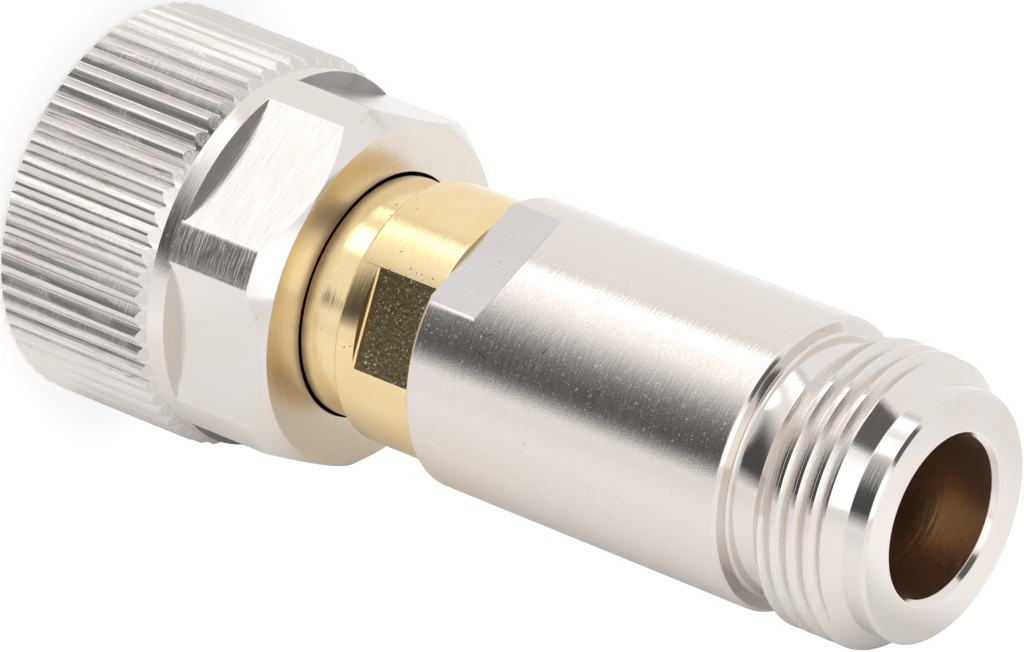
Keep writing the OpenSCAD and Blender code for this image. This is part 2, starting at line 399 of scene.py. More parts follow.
class Number:
    """A number that a socket gives. Python's operators on it add Math nodes to its graph."""

    def __init__(self, graph: "Graph", socket: bpy.types.NodeSocket) -> None:
        """Keeps the socket and the graph that it is in."""
        self.graph = graph
        self.socket = socket

    def _math(self, operation: str, first: Feed, second: Feed) -> "Number":
        """Adds one Math node and gives its result."""
        return self.graph.number("ShaderNodeMath", {"operation": operation}, {0: first, 1: second})

    def __add__(self, other: Feed) -> "Number":
        """The sum."""
        return self._math("ADD", self, other)

    def __radd__(self, other: Feed) -> "Number":
        """The sum, from the right."""
        return self._math("ADD", other, self)

    def __sub__(self, other: Feed) -> "Number":
        """The difference."""
        return self._math("SUBTRACT", self, other)

    def __rsub__(self, other: Feed) -> "Number":
        """The difference, from the right."""
        return self._math("SUBTRACT", other, self)

    def __mul__(self, other: Feed) -> "Number":
        """The product."""
        return self._math("MULTIPLY", self, other)

    def __rmul__(self, other: Feed) -> "Number":
        """The product, from the right."""
        return self._math("MULTIPLY", other, self)

    def __abs__(self) -> "Number":
        """The size without its sign."""
        return self._math("ABSOLUTE", self, 0.0)


class Graph:
    """The node tree of a material or a world."""

    def __init__(self, tree: bpy.types.NodeTree) -> None:
        """Empties the tree and keeps it."""
        self.tree = tree
        tree.nodes.clear()

    def feed(self, target: bpy.types.NodeSocket, source: Feed) -> None:
        """Links a socket to what feeds it, or sets its value.

        Args:
            target: The input socket.
            source: A number, a socket or a plain value.
        """
        if isinstance(source, Number):
            source = source.socket
        if isinstance(source, bpy.types.NodeSocket):
            self.tree.links.new(source, target)
        else:
            target.default_value = source

    def node(self, kind: str, settings: Mapping[str, object] | None = None,
             inputs: Mapping[Union[int, str], Feed] | None = None) -> bpy.types.Node:
        """Adds any node.

        Args:
            kind: Blender's name of the node.
            settings: Values of the node itself, which are set first.
            inputs: Values or links of its sockets, by name or place.

        Returns:
            The new node.
        """
        made = self.tree.nodes.new(kind)
        for key, setting in (settings or {}).items():
            setattr(made, key, setting)
        for key, source in (inputs or {}).items():
            self.feed(made.inputs[key], source)
        return made

    def number(self, kind: str, settings: Mapping[str, object] | None = None,
               inputs: Mapping[Union[int, str], Feed] | None = None,
               output: Union[int, str] = 0) -> Number:
        """Adds a node and gives one of its outputs as a number.

        Args:
            kind: Blender's name of the node.
            settings: Values of the node itself.
            inputs: Values or links of its sockets.
            output: Name or place of the output.

        Returns:
            That output.
        """
        return Number(self, self.node(kind, settings, inputs).outputs[output])

    def step(self, value: Feed, low: float, high: float) -> Number:
        """A soft step that is 0 at low and 1 at high, which may be the smaller one.

        Args:
            value: What is compared.
            low: Where the step starts.
            high: Where it ends.

        Returns:
            A number from 0 to 1.
        """
        return self.number("ShaderNodeMapRange", {"interpolation_type": "SMOOTHSTEP"},
                           {"Value": value, "From Min": low, "From Max": high})

    def mix(self, share: Feed, first: Feed, second: Feed) -> bpy.types.NodeSocket:
        """Mixes two colours.

        Args:
            share: 0 gives the first, 1 the second.
            first: A colour.
            second: Another colour.

        Returns:
            The mixed colour.
        """
        first, second = [(*c, 1.0) if isinstance(c, tuple) and len(c) == 3 else c for c in (first, second)]
        mixer = self.node("ShaderNodeMix", {"data_type": "RGBA"}, {0: share, 6: first, 7: second})
        return mixer.outputs[2]

    def vector(self, operation: str, first: Feed, second: Feed = ORIGIN) -> bpy.types.NodeSocket:
        """Adds one Vector Math node.

        Args:
            operation: Blender's name of the operation.
            first: A vector.
            second: Another vector.

        Returns:
            The resulting vector.
        """
        return self.node("ShaderNodeVectorMath", {"operation": operation}, {0: first, 1: second}).outputs[0]

    def dot(self, first: Feed, second: Feed) -> Number:
        """The dot product of two vectors."""
        return self.number("ShaderNodeVectorMath", {"operation": "DOT_PRODUCT"},
                           {0: first, 1: second}, "Value")

    def length(self, vector: Feed) -> Number:
        """The length of a vector."""
        return self.number("ShaderNodeVectorMath", {"operation": "LENGTH"}, {0: vector}, "Value")

    def place_mm(self) -> bpy.types.NodeSocket:
        """The place on the piece in millimetres."""
        place = self.node("ShaderNodeTexCoord").outputs["Object"]
        return self.vector("MULTIPLY", place, (1.0 / MM, 1.0 / MM, 1.0 / MM))

    def noise(self, place: Feed, rate: Sequence[float], detail: float = 2.0, w: Feed = 0.0) -> Number:
        """Noise from 0 to 1 around a half.

        Args:
            place: Where the noise is read.
            rate: Waves to the millimetre along each axis.
            detail: How many finer layers it has.
            w: A fourth coordinate.

        Returns:
            The noise.
        """
        stretched = self.vector("MULTIPLY", place, tuple(rate))
        return self.number("ShaderNodeTexNoise", {"noise_dimensions": "4D"},
                           {"Vector": stretched, "W": w, "Scale": 1.0, "Detail": detail}, "Fac")

    def spots(self, place: Feed, rate: float, size: float, share: float) -> Number:
        """Scattered small spots.

        Args:
            place: Where they are read.
            rate: Cells to the millimetre.
            size: Radius of a spot over the cell's size.
            share: Share of the cells that have a spot.

        Returns:
            1 on a spot and 0 beside it.
        """
        cells = self.node("ShaderNodeTexVoronoi", {"feature": "F1"}, {"Vector": place, "Scale": rate})
        luck = self.number("ShaderNodeSeparateColor", {}, {"Color": cells.outputs["Color"]}, "Red")
        return self.step(cells.outputs["Distance"], size, size / 2.0) * self.step(luck, share, share - 0.02)

    def stroke(self, place: Feed, scratch: "Scratch") -> Number:
        """A short straight scratch.

        Args:
            place: Where it is read.
            scratch: The scratch.

        Returns:
            1 on the scratch and 0 beside it.
        """
        way = Vector(scratch.end) - Vector(scratch.start)
        offset = self.vector("SUBTRACT", place, scratch.start)
        along = self.dot(offset, tuple(way / way.length_squared))
        share = self.number("ShaderNodeClamp", {}, {"Value": along})
        miss = self.vector("SUBTRACT", offset, self.vector("MULTIPLY", tuple(way), share.socket))
        return self.step(self.length(miss), scratch.width, scratch.width / 3.0)


def material_graph(name: str) -> tuple[bpy.types.Material, Graph]:
    """Makes a material with an empty node tree.

    Args:
        name: The material's name.

    Returns:
        The material and its graph.
    """
    material = bpy.data.materials.new(name)
    material.use_nodes = True
    return material, Graph(material.node_tree)


# Finishes. Rates are waves or cells to the millimetre, and an edge is where a soft step starts and ends

CLOUD_RATE: Triple = (0.30, 0.30, 0.22)
CLOUD_EDGE: Edge = (0.35, 0.65)
FLOCK_RATE: Triple = (0.35, 0.35, 0.35)
FLOCK_EDGE: Edge = (0.48, 0.60)
SPECK_RATE: Triple = (7.0, 7.0, 7.0)
SPECK_EDGE: Edge = (0.58, 0.76)
PATCH_RATE: Triple = (0.8, 0.8, 0.25)
PATCH_EDGE: Edge = (0.52, 0.60)
CHATTER_RUN = 0.6
MARK_ROUGH = 0.08
PIT_SIZE = 0.17
PIT_DEPTH = 3.0
PIT_ROUGH = 0.3
# Painted shade below a height: how far its edge wanders along the axis, and how much of the dark colour it
# takes.
GAP_SHADE_WAVE = 0.8
GAP_SHADE_SHARE = 0.85
SCRATCH_SHARE = 0.8
SOFT_CLOUD_RATE: Triple = (0.5, 0.5, 0.5)
SOFT_CLOUD_EDGE: Edge = (0.3, 0.7)
SOFT_ROUGH = 0.2


@dataclass(frozen=True)
class Scratch:
    """A straight scratch between two places on a piece."""

    start: Triple
    end: Triple
    width: float = 0.05


@dataclass(frozen=True)
class MetalFinish:
    """A plated metal: its colours, its gloss, what the tool and handling left on it, and a painted shade
    below a height.

    Marks are noise with so many waves to the millimetre across and along the tool's way. Heights are in
    thousandths of a millimetre.
    """

    name: str
    colour: Colour
    drift: Colour
    roughness: float
    marks: Marks = Marks.TURNED
    mark_rate: float = 9.0
    mark_run: float = 0.3
    mark_height: float = 2.0
    grain_rate: float = 8.0
    grain_height: float = 2.0
    smudge: float = 0.06
    pit_share: float = 0.05
    pit_rate: float = 3.0
    # Colour of pits and scratches, and of the painted shade below a height.
    pit_and_shade_colour: Colour = (0.34, 0.31, 0.29)
    speck_rough: float = 0.0
    gap_shade_z: Point | None = None
    scratches: tuple[Scratch, ...] = ()

    def tool_marks(self, graph: Graph, place: Feed) -> Number:
        """Fine lines that follow the tool.

        Args:
            graph: The material's graph.
            place: The place in millimetres.

        Returns:
            The height of the lines from 0 to 1.
        """
        across, run = self.mark_rate, self.mark_run
        if self.marks is Marks.BLASTED:
            return graph.noise(place, (across, across, across))
        if self.marks is Marks.MILLED:
            return graph.noise(place, (run, run, across))
        if self.marks is Marks.KNURLED:
            chatter = graph.noise(place, (CHATTER_RUN, CHATTER_RUN, across), detail=1.0, w=9.0)
            patch = graph.step(graph.noise(place, PATCH_RATE, detail=1.0, w=4.0), *PATCH_EDGE)
            return graph.noise(place, (across, across, run)) + patch * chatter
        radius = graph.length(graph.vector("MULTIPLY", place, (1.0, 1.0, 0.0)))
        return graph.noise(place, (run, run, across), w=radius * across)

    def shaded_and_scratched(self, graph: Graph, place: Feed, colour: Feed, cloud: Number) -> Feed:
        """Darkens the colour by a painted shade that fades out up the axis, and by scratches.

        Args:
            graph: The material's graph.
            place: The place in millimetres.
            colour: The clean colour.
            cloud: Slow noise that makes the painted shade's edge uneven.

        Returns:
            The soiled colour.
        """
        # Painted shade: the colour is darkest below the first height and the shade is gone by the second.
        if self.gap_shade_z:
            height = graph.number("ShaderNodeSeparateXYZ", {}, {"Vector": place}, "Z")
            gap_shade = graph.step(height + (cloud - 0.5) * GAP_SHADE_WAVE, self.gap_shade_z[1], self.gap_shade_z[0])
            colour = graph.mix(gap_shade * GAP_SHADE_SHARE, colour, self.pit_and_shade_colour)
        for scratch in self.scratches:
            colour = graph.mix(graph.stroke(place, scratch) * SCRATCH_SHARE, colour, self.pit_and_shade_colour)
        return colour

    @cache
    def build(self) -> bpy.types.Material:
        """Builds the material, once for all pieces.

        Returns:
            The finished material.
        """
        material, graph = material_graph(self.name)
        place = graph.place_mm()
        marks = self.tool_marks(graph, place)
        grain = graph.noise(place, (self.grain_rate,) * 3, w=2.0)
        cloud = graph.noise(place, CLOUD_RATE, detail=3.0)
        flock = graph.step(graph.noise(place, FLOCK_RATE, detail=1.0, w=6.0), *FLOCK_EDGE)
        pits = graph.spots(place, self.pit_rate, PIT_SIZE, self.pit_share) * flock
        colour = graph.mix(graph.step(cloud, *CLOUD_EDGE), self.colour, self.drift)
        colour = self.shaded_and_scratched(graph, place, graph.mix(pits, colour, self.pit_and_shade_colour), cloud)
        specks = graph.step(graph.noise(place, SPECK_RATE, detail=1.0, w=7.0), *SPECK_EDGE)
        roughness = (self.roughness + (cloud - 0.5) * self.smudge + (marks - 0.5) * MARK_ROUGH
                     + pits * PIT_ROUGH + specks * self.speck_rough)
        height = marks * self.mark_height + grain * self.grain_height - pits * PIT_DEPTH
        bump = graph.node("ShaderNodeBump", {}, {"Strength": 1.0, "Distance": MICRON, "Height": height})
        surface = graph.node("ShaderNodeBsdfPrincipled", {}, {
            "Base Color": colour, "Metallic": 1.0, "Roughness": roughness, "Normal": bump.outputs["Normal"]})
        graph.node("ShaderNodeOutputMaterial", {}, {"Surface": surface.outputs["BSDF"]})
        return material


@dataclass(frozen=True)
class SoftFinish:
    """A moulded plastic or rubber with a fine grain."""

    name: str
    colour: Colour
    drift: Colour
    roughness: float
    grain_rate: float
    grain_height: float

    @cache
    def build(self) -> bpy.types.Material:
        """Builds the material, once for all pieces.

        Returns:
            The finished material.
        """
        material, graph = material_graph(self.name)
        place = graph.place_mm()
        grain = graph.noise(place, (self.grain_rate,) * 3, detail=4.0)
        cloud = graph.noise(place, SOFT_CLOUD_RATE, detail=3.0, w=5.0)
        colour = graph.mix(graph.step(cloud, *SOFT_CLOUD_EDGE), self.colour, self.drift)
        bump = graph.node("ShaderNodeBump", {}, {"Strength": 1.0, "Distance": MICRON,
                                                 "Height": grain * self.grain_height})
        surface = graph.node("ShaderNodeBsdfPrincipled", {}, {
            "Base Color": colour, "Roughness": self.roughness + (grain - 0.5) * SOFT_ROUGH,
            "Normal": bump.outputs["Normal"]})
        graph.node("ShaderNodeOutputMaterial", {}, {"Surface": surface.outputs["BSDF"]})
        return material


NICKEL: Colour = (0.775, 0.74, 0.71)
NICKEL_WARM: Colour = (0.77, 0.715, 0.675)
GOLD: Colour = (0.89, 0.72, 0.42)
GOLD_DEEP: Colour = (0.87, 0.68, 0.36)
# Dark brown of tarnished pits on the gold, and of the painted shade by the nut's gap.
TARNISH_AND_GAP_SHADE: Colour = (0.18, 0.10, 0.04)

BARREL_SCRATCHES = (
    Scratch((4.27, -6.77, 29.05), (4.39, -6.69, 29.46)),
    Scratch((4.39, -6.69, 29.46), (4.16, -6.84, 29.79)),
    Scratch((5.05, -6.20, 29.19), (5.23, -6.05, 29.94), 0.04),
    Scratch((3.82, -7.03, 33.29), (4.19, -6.81, 33.02)),
    Scratch((3.58, -7.15, 36.22), (4.12, -6.86, 36.21), 0.03))
SATIN_BARREL = MetalFinish("satin_barrel", NICKEL_WARM, NICKEL_WARM, 0.17, mark_rate=7.0, mark_run=0.9,
                           mark_height=8.0, grain_rate=9.0, grain_height=4.0, speck_rough=0.17,
                           scratches=BARREL_SCRATCHES)
BARREL_FLAT = MetalFinish("barrel_flat", (0.57, 0.545, 0.53), (0.54, 0.515, 0.50), 0.30, Marks.BLASTED, 6.0,
                          mark_height=12.0, grain_height=8.0, speck_rough=0.2)
TURNED_NICKEL = MetalFinish("turned_nickel", NICKEL, NICKEL_WARM, 0.09)
THREAD_FLANK = MetalFinish("thread_flank", NICKEL, NICKEL_WARM, 0.27, mark_rate=8.0, mark_run=0.8,
                           mark_height=14.0, grain_height=6.0)
REAR_FACE = MetalFinish("rear_face", (0.85, 0.79, 0.72), (0.83, 0.77, 0.70), 0.26, mark_height=5.0)
BAND = MetalFinish("band", NICKEL, NICKEL_WARM, 0.17, mark_rate=7.0, mark_run=0.35, mark_height=12.0,
                   grain_height=4.0)
CORNER_STRIP = MetalFinish("corner_strip", NICKEL, NICKEL_WARM, 0.20, mark_rate=7.0, mark_run=0.35,
                           mark_height=36.0, grain_height=6.0)
# A dark copy of the nickel for end walls of the hex flats: painted shade.
PAINTED_SHADE_FLAT_END = MetalFinish("painted_shade_flat_end", (0.30, 0.285, 0.275), (0.38, 0.36, 0.35), 0.34, Marks.BLASTED, 5.0,
                       mark_height=14.0)
HEX_FLAT = MetalFinish("hex_flat", (0.75, 0.715, 0.685), (0.74, 0.70, 0.665), 0.18, Marks.MILLED, 11.0, 0.25,
                       9.5, grain_height=5.0, pit_share=0.02)
KNURL = MetalFinish("knurl", (0.70, 0.67, 0.645), (0.68, 0.64, 0.61), 0.24, Marks.KNURLED, 8.0, 0.25, 20.0,
                    pit_share=0.0)
# The neck next to the nut's gap gets a painted shade, darkest below 17.3 mm and gone by 17.9 mm.
TURNED_GOLD = MetalFinish("turned_gold", GOLD, GOLD_DEEP, 0.14, mark_run=1.2, mark_height=6.0,
                          pit_share=0.45, pit_rate=2.6, pit_and_shade_colour=TARNISH_AND_GAP_SHADE, gap_shade_z=(17.3, 17.9))
GOLD_FLAT = MetalFinish("gold_flat", (0.80, 0.64, 0.37), (0.66, 0.52, 0.28), 0.10, Marks.BLASTED, 3.0,
                        mark_height=9.0, grain_rate=6.0, grain_height=5.0, pit_share=0.35, pit_and_shade_colour=TARNISH_AND_GAP_SHADE,
                        speck_rough=0.36)
# A dark copy of the gold for the end walls of the collar's flats: painted shade.
PAINTED_SHADE_GOLD_FLAT_END = MetalFinish("painted_shade_gold_flat_end", (0.15, 0.10, 0.05), (0.10, 0.07, 0.04), 0.24, Marks.BLASTED, 5.0,
                            mark_height=8.0)
CONTACT_GOLD = MetalFinish("contact_gold", (0.90, 0.70, 0.33), (0.86, 0.64, 0.28), 0.16)
BORE_BROWN = MetalFinish("bore_brown", (0.62, 0.47, 0.38), (0.66, 0.46, 0.34), 0.30,
                         mark_rate=5.0, mark_height=20.0, speck_rough=0.2)
SPRING_BRONZE = MetalFinish("spring_bronze", (0.55, 0.36, 0.19), (0.48, 0.30, 0.16), 0.28)
BEAD_PLASTIC = SoftFinish("bead_plastic", (0.90, 0.89, 0.85), (0.86, 0.84, 0.79), 0.42, 6.0, 1.0)
GASKET_RUBBER = SoftFinish("gasket_rubber", (0.40, 0.07, 0.05), (0.30, 0.05, 0.04), 0.70, 9.0, 4.0)

# A face lies in a plane if its centre is this close to it, and faces a way if its normal has this share of it
TOUCH = 0.01
FACING = 0.99
FaceTest = Callable[[Vector, Vector], bool]


def dress(piece: bpy.types.Object, base: MetalFinish | SoftFinish,
          others: Sequence[tuple[MetalFinish, FaceTest]] = ()) -> None:
    """Gives a piece its finish, and other finishes to some of its faces.

    Args:
        piece: The piece to dress.
        base: The finish of all faces that nothing else takes.
        others: Other finishes, each with a test on a face's centre in millimetres and its normal.
    """
    piece.data.materials.clear()
    piece.data.materials.append(base.build())
    for finish, wanted in others:
        piece.data.materials.append(finish.build())
        chosen = [wanted(face.center / MM, face.normal) for face in piece.data.polygons]
        with editing(piece, "FACE"):
            bpy.ops.mesh.select_all(action="DESELECT")
            mesh = bmesh.from_edit_mesh(piece.data)
            for face, is_chosen in zip(mesh.faces, chosen):
                face.select_set(is_chosen)
            bmesh.update_edit_mesh(piece.data)
            piece.active_material_index = len(piece.data.materials) - 1
            bpy.ops.object.material_slot_assign()


def hand_over(piece: bpy.types.Object, node: str, body: Body) -> None:
    """Lets a finished piece stand for a solid of the frame.

    Args:
        piece: The finished piece.
        node: Name of the solid that it replaces.
        body: The body that it moves with.
    """
    shade(piece)
    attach(piece, body.value)
    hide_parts(node)
    log.info("%s stands for %s on %s, %d faces", piece.name, node, body.value, len(piece.data.polygons))


def bottom_mm(node: str) -> float:
    """Height of a solid's lowest point."""
    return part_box(node)[0].z / MM


def top_mm(node: str) -> float:
    """Height of a solid's highest point."""
    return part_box(node)[1].z / MM


def radial(centre: Vector) -> float:
    """Distance of a point from the axis."""
    return math.hypot(centre.x, centre.y)


@dataclass
class CouplingNut:
    """The nut that spins on the plug: straight knurl, six wrench flats, thread and ring groove inside."""

    knurl_r: float = 10.85
    knurl_len: float = 9.4
    knurl_teeth: int = 58
    knurl_depth: float = 0.3
    land_w: float = 0.18
    knurl_turn: float = 1.4
    knurl_bevel: float = 0.3
    tooth_edge: Point = (0.04, 0.06)
    valley_half_w: float = 0.03
    flank_bulge: Point = (0.53, 0.45)
    round_r: float = 10.35
    band_len: float = 1.1
    across_flats: float = 19.0
    face_r: float = 9.4
    cone_len: float = 1.2
    thread_r: float = 7.4
    thread_depth: float = 8.8
    relief_r: float = 8.3
    lip_z: float = 11.95
    lip_r: float = 6.78
    groove_r: float = 7.42
    groove_z: Point = (13.2, 14.8)
    turn: float = 11.0
    length: float = field(init=False)
    knurl_end: float = field(init=False)
    hex_z: float = field(init=False)

    def __post_init__(self) -> None:
        """Takes the length from the frame, and works out where knurl and flats meet the band."""
        self.length = top_mm("coupling_nut")
        self.knurl_end = self.knurl_len + self.knurl_r - self.round_r
        self.hex_z = self.knurl_end + self.band_len

    def blank(self) -> bpy.types.Object:
        """Turns the nut before any flat, tooth or thread is cut.

        Returns:
            The turned blank.
        """
        mouth = self.relief_r - self.thread_r
        outline = [
            Corner(self.relief_r, 0.0, 0.05), Corner(self.knurl_r - self.knurl_bevel, 0.0, 0.08),
            Corner(self.knurl_r, self.knurl_bevel, 0.08), Corner(self.knurl_r, self.knurl_len, 0.05),
            Corner(self.round_r, self.knurl_end, 0.08), Corner(self.round_r, self.hex_z - 0.25),
            Corner(self.round_r, self.length - self.cone_len, 0.10),
            Corner(self.face_r, self.length, 0.08), Corner(self.lip_r, self.length, 0.02),
            Corner(self.lip_r, self.groove_z[1]), Corner(self.groove_r, self.groove_z[1]),
            Corner(self.groove_r, self.groove_z[0]), Corner(self.lip_r, self.groove_z[0]),
            Corner(self.lip_r, self.lip_z, 0.05), Corner(self.relief_r, self.lip_z, 0.10),
            Corner(self.relief_r, self.thread_depth + mouth, 0.10), Corner(self.thread_r, self.thread_depth),
            Corner(self.thread_r, mouth)]
        return turned("knurled_nut", outline, self.knurl_teeth * 4)

    def knurl_grooves(self) -> bpy.types.Object:
        """Makes the ring of V cutters that leave the knurl's teeth.

        Returns:
            All cutters in one piece.
        """
        angle = self.knurl_turn + 180.0 / self.knurl_teeth
        out, aside = spoke(angle), spoke(angle + 90.0)
        half = math.pi * self.knurl_r / self.knurl_teeth - self.land_w / 2.0
        valley = self.knurl_r - self.knurl_depth
        past, clear = 0.5, 0.3
        rise, spread = self.flank_bulge
        deep, wide = self.tooth_edge
        section = [(valley, self.valley_half_w), (valley + rise * self.knurl_depth, spread * half),
                   (self.knurl_r - deep, half - wide), (self.knurl_r, half + deep),
                   (self.knurl_r + clear, half + deep)]
        section = [(r, -side) for r, side in reversed(section)] + section
        foot = Vector((0.0, 0.0, -past))
        cutters = prism("knurl_cutters", [foot + out * r + aside * side for r, side in section],
                        Vector((0.0, 0.0, self.knurl_end + 2.0 * past)))
        repeat_round(cutters, self.knurl_teeth)
        return cutters

    def build(self) -> None:
        """Makes the nut, dresses it and hands it over."""
        nut = self.blank()
        cut_away(nut, hexagon_stock(self.across_flats, self.turn, self.hex_z, self.length + 1.0))
        cut_away(nut, self.knurl_grooves())
        thread = Thread(crest_r=self.thread_r, root_r=self.thread_r + 0.55, root_w=0.12, z0=-0.6, turns=10)
        cut_away(nut, thread.groove())
        rim_r, flat_r = self.round_r - 0.15, self.across_flats / 2.0 - 0.2
        # The pair of flats that faces this way keeps pale end walls, which lie at least this far out.
        pale, pale_reach = spoke(self.turn - 30.0), 9.0
        dress(nut, TURNED_NICKEL, [
            (KNURL, lambda c, n: c.z < self.knurl_len + 0.3 and radial(c) > self.round_r and abs(n.z) < 0.8),
            (BAND, lambda c, n: self.knurl_end < c.z < self.hex_z and radial(c) > rim_r and abs(n.z) < 0.3),
            (CORNER_STRIP, lambda c, n: c.z > self.hex_z and radial(c) > rim_r and abs(n.z) < 0.3),
            (HEX_FLAT, lambda c, n: c.z > self.hex_z and flat_r < radial(c) < rim_r and abs(n.z) < 0.1),
            # Painted shade: the end walls of the other two pairs of flats get the dark copy of the nickel.
            (PAINTED_SHADE_FLAT_END, lambda c, n: (abs(c.z - self.hex_z) < TOUCH and n.z > FACING
                                     and abs(c.dot(pale)) < pale_reach)),
            (REAR_FACE, lambda c, n: c.z > self.length - TOUCH and n.z > FACING)])
        hand_over(nut, "coupling_nut", Body.NUT)


@dataclass
class PlugBody:
    """The gold body between nut and barrel: neck, collar with two flats, and the tail in the barrel."""

    bead_r: float = 4.6
    line_r: float = 3.5
    neck_r: float = 6.66
    neck_end_r: float = 6.25
    neck_z: float = 17.2
    ring_groove_r: float = 5.86
    ring_groove_z: Point = (13.45, 14.55)
    collar_r: float = 7.25
    collar_z: float = 19.85
    neck_curve: Point = (0.6, 0.4)
    neck_steps: int = 5
    bevel: float = 0.2
    rim_len: float = 1.35
    across_flats: float = 13.4
    turn: float = 45.0
    barrel_z: float = 25.25
    tail_r: float = 6.0
    plug_bead_end: float = 16.8
    socket_bead_start: float = 28.3

    def neck(self) -> list[Corner]:
        """Draws the neck's taper as a gentle curve.

        Returns:
            The curve's corners, from the nut's rear face to just short of the collar.
        """
        drop, run = self.neck_r - self.neck_end_r, self.collar_z - self.neck_z
        lean, bow = self.neck_curve
        shares = [i / self.neck_steps for i in range(self.neck_steps)]
        return [Corner(self.neck_r - drop * share * (lean + bow * share), self.neck_z + run * share)
                for share in shares]

    def build(self) -> None:
        """Makes the body, dresses it and hands it over."""
        low, high = bottom_mm("plug_body"), top_mm("plug_body")
        outline = [
            Corner(self.bead_r, low, 0.05), Corner(self.neck_r, low, 0.08),
            Corner(self.neck_r, self.ring_groove_z[0]), Corner(self.ring_groove_r, self.ring_groove_z[0]),
            Corner(self.ring_groove_r, self.ring_groove_z[1]), Corner(self.neck_r, self.ring_groove_z[1]),
            *self.neck(), Corner(self.neck_end_r, self.collar_z, 0.06),
            Corner(self.collar_r - self.bevel, self.collar_z, 0.06),
            Corner(self.collar_r, self.collar_z + self.bevel, 0.08),
            Corner(self.collar_r, self.barrel_z, 0.06),
            Corner(self.tail_r, self.barrel_z), Corner(self.tail_r, high - self.bevel),
            Corner(self.tail_r - self.bevel, high), Corner(self.bead_r, high),
            Corner(self.bead_r, self.socket_bead_start), Corner(self.line_r, self.socket_bead_start),
            Corner(self.line_r, self.plug_bead_end), Corner(self.bead_r, self.plug_bead_end)]
        body = turned("gold_body", outline, 192)
        half, foot, roof = self.across_flats / 2.0, self.collar_z + self.rim_len, self.barrel_z + 0.05
        mill_flats(body, [Corner(half, foot, 0.12), Corner(2.0 * half, foot), Corner(2.0 * half, roof),
                          Corner(half, roof)], self.turn + 90.0)
        normal = spoke(self.turn + 90.0)
        dress(body, TURNED_GOLD, [
            (GOLD_FLAT, lambda c, n: (foot < c.z < roof and abs(n.dot(normal)) > FACING
                                      and radial(c) < self.collar_r)),
            # Painted shade: the flats' end walls get the dark copy of the gold.
            (PAINTED_SHADE_GOLD_FLAT_END, lambda c, n: abs(c.z - foot) < TOUCH and n.z > FACING)])
        hand_over(body, "plug_body", Body.ADAPTER)


